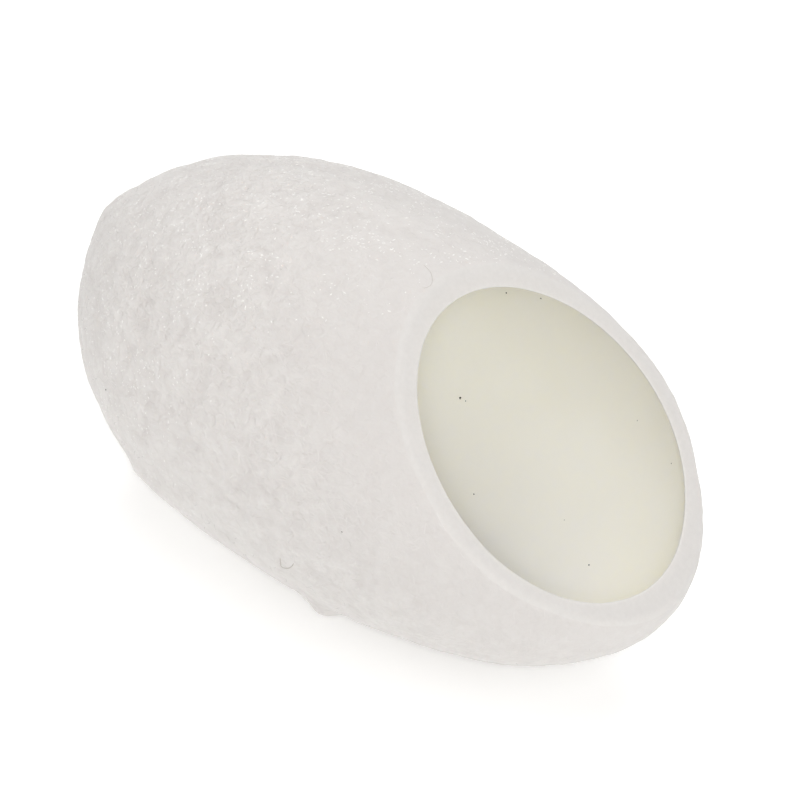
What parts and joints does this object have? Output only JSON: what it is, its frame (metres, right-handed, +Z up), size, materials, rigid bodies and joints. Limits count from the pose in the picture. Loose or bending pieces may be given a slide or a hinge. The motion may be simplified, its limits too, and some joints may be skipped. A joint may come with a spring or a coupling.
{
  "type": "cut silk cocoon",
  "caption": "Empty white silkworm cocoon lying on its side, an egg-shaped shell of spun silk with one end cut away on a steep slant to leave an oval mouth.",
  "frame": {"origin": "the small flat spot on the belly that the cocoon rests on, below the middle of the length it had before it was cut", "axes": "+X along the long axis towards the cut end, +Y across it, +Z up; the cut faces +X and +Z"},
  "size_m": [0.0354, 0.02, 0.0198],
  "materials": {
    "spun_silk": "dull undyed white, faintly wrinkled outside with fine loose threads, smooth and ivory inside"
  },
  "bodies": {
    "root": {"cocoon_shell": "spun_silk"}
  },
  "joints": []
}
